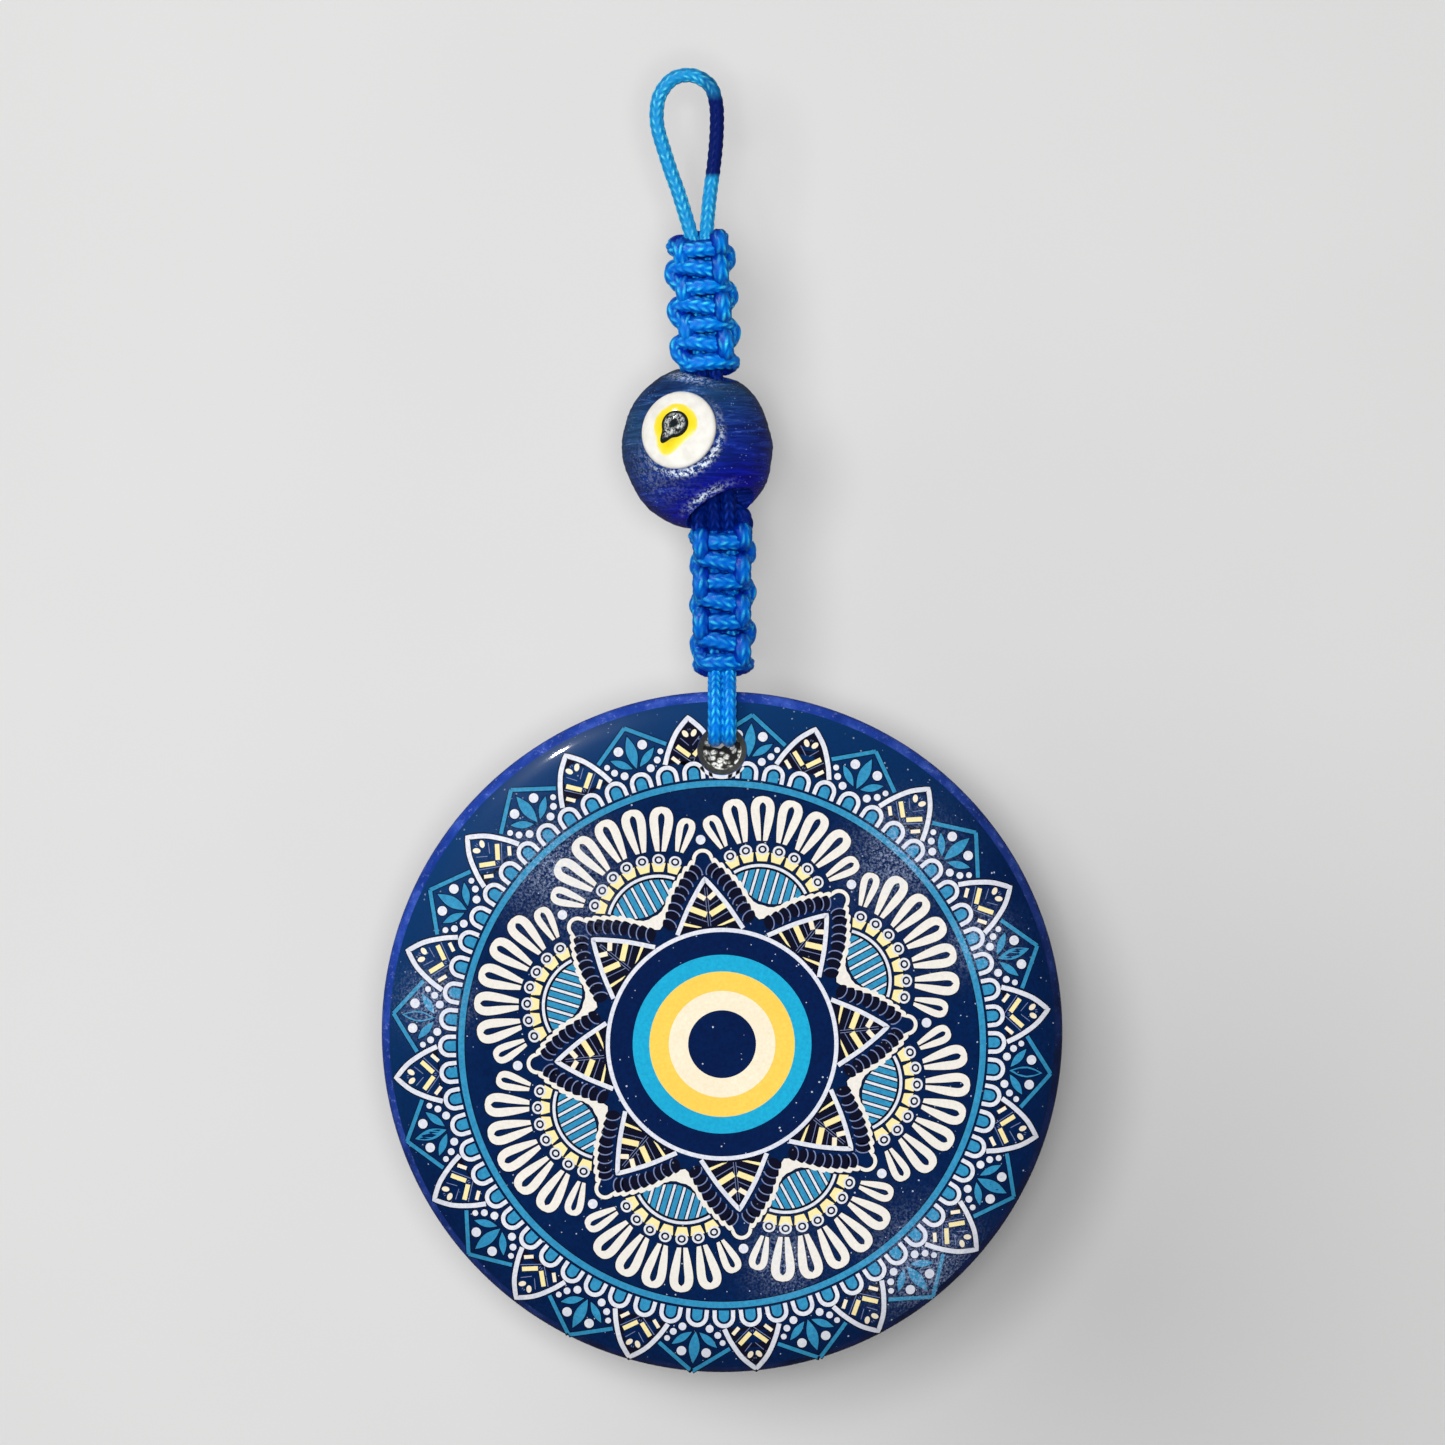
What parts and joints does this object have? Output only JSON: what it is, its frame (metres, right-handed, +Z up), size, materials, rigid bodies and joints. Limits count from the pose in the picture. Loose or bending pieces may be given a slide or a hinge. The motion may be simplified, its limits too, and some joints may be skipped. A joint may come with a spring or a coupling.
{
  "type": "evil eye ornament",
  "caption": "Hanging charm: a round printed glass disc on a knotted cord strap with a glass bead and a hanging loop.",
  "frame": {"origin": "inner top of the hanging loop, where the nail or hook carries the ornament", "axes": "+Z up, +Y away from the viewer (the printed face looks along -Y), +X to the viewer's right"},
  "size_m": [0.08, 0.0179, 0.1533],
  "materials": {
    "azure_cord": "round braided polyester cord, slight sheen",
    "shaded_cord": "the same braided cord, where it lies in shade",
    "bead_glass": "lampwork cobalt glass, glossy, with winding marks",
    "white_glass": "opaque white glass, glossy",
    "yellow_glass": "opaque yellow glass, glossy",
    "black_glass": "black glass, glossy",
    "disc_glass": "pressed cobalt glass, fire polished, ground round the hole",
    "navy_ink": "printed enamel under a clear gloss coat",
    "mandala_ink": "printed enamel border in navy, white, turquoise and cream under a clear gloss coat",
    "white_ink": "printed enamel under a clear gloss coat",
    "turquoise_ink": "printed enamel under a clear gloss coat",
    "yellow_ink": "printed enamel under a clear gloss coat",
    "cream_ink": "printed enamel under a clear gloss coat"
  },
  "bodies": {
    "loop": {"hanging_loop": "azure_cord"},
    "band_head": {"upper_core_top": "shaded_cord", "upper_knot_1": "azure_cord"},
    "upper_band": {"upper_core": "shaded_cord", "upper_knot_2": "azure_cord", "upper_knot_3": "azure_cord", "upper_knot_4": "azure_cord", "upper_knot_5": "azure_cord", "upper_knot_6": "azure_cord", "upper_knot_7": "azure_cord"},
    "bead_cords": {"bead_core_cords": "shaded_cord", "bead_working_cords": "shaded_cord"},
    "bead": {"bead_glass": "bead_glass", "bead_eye_white": "white_glass", "bead_eye_yellow": "yellow_glass", "bead_eye_pupil": "black_glass"},
    "neck": {"lower_lead_cords": "shaded_cord", "lower_knot_1": "azure_cord"},
    "lower_band": {"lower_core": "shaded_cord", "lower_knot_2": "azure_cord", "lower_knot_3": "azure_cord", "lower_knot_4": "azure_cord", "lower_knot_5": "azure_cord", "lower_knot_6": "azure_cord", "lower_knot_7": "azure_cord"},
    "tether": {"tether_left": "azure_cord", "tether_right": "azure_cord"},
    "disc": {"glass_disc": "disc_glass", "ground_film": "navy_ink", "mandala_print": "mandala_ink", "eye_outline_print": "white_ink", "eye_iris_print": "navy_ink", "eye_turquoise_print": "turquoise_ink", "eye_yellow_print": "yellow_ink", "eye_cream_print": "cream_ink", "eye_pupil_print": "navy_ink"}
  },
  "joints": [
    {"name": "loop_bend", "type": "hinge", "parent": "loop", "child": "band_head", "pos_m": [0.00091, 0, -0.0184], "axis": [1, 0, 0], "range_deg": [-30, 30]},
    {"name": "upper_twist", "type": "hinge", "parent": "band_head", "child": "upper_band", "pos_m": [0.00108, 0, -0.0208], "axis": [-0.0684, 0, 0.9977], "range_deg": [-30, 30]},
    {"name": "bead_bend", "type": "hinge", "parent": "upper_band", "child": "bead_cords", "pos_m": [0.002, 0, -0.03425], "axis": [1, 0, 0], "range_deg": [-9, 9]},
    {"name": "bead_spin", "type": "hinge", "parent": "bead_cords", "child": "bead", "pos_m": [0.00282, 0, -0.04325], "axis": [-0.0897, 0.1132, 0.9895], "continuous": true},
    {"name": "neck_sway", "type": "hinge", "parent": "bead_cords", "child": "neck", "pos_m": [0.0036, 0, -0.0519], "axis": [0, 1, 0], "range_deg": [-20, 20]},
    {"name": "lower_twist", "type": "hinge", "parent": "neck", "child": "lower_band", "pos_m": [0.0036, 0, -0.05518], "axis": [0, 0, 1], "range_deg": [-30, 30]},
    {"name": "tether_bend", "type": "hinge", "parent": "lower_band", "child": "tether", "pos_m": [0.0036, 0, -0.07065], "axis": [1, 0, 0], "range_deg": [-20, 20]},
    {"name": "disc_turn", "type": "hinge", "parent": "tether", "child": "disc", "pos_m": [0.0036, 0, -0.07845], "axis": [0, 1, 0], "range_deg": [-20, 20]}
  ]
}
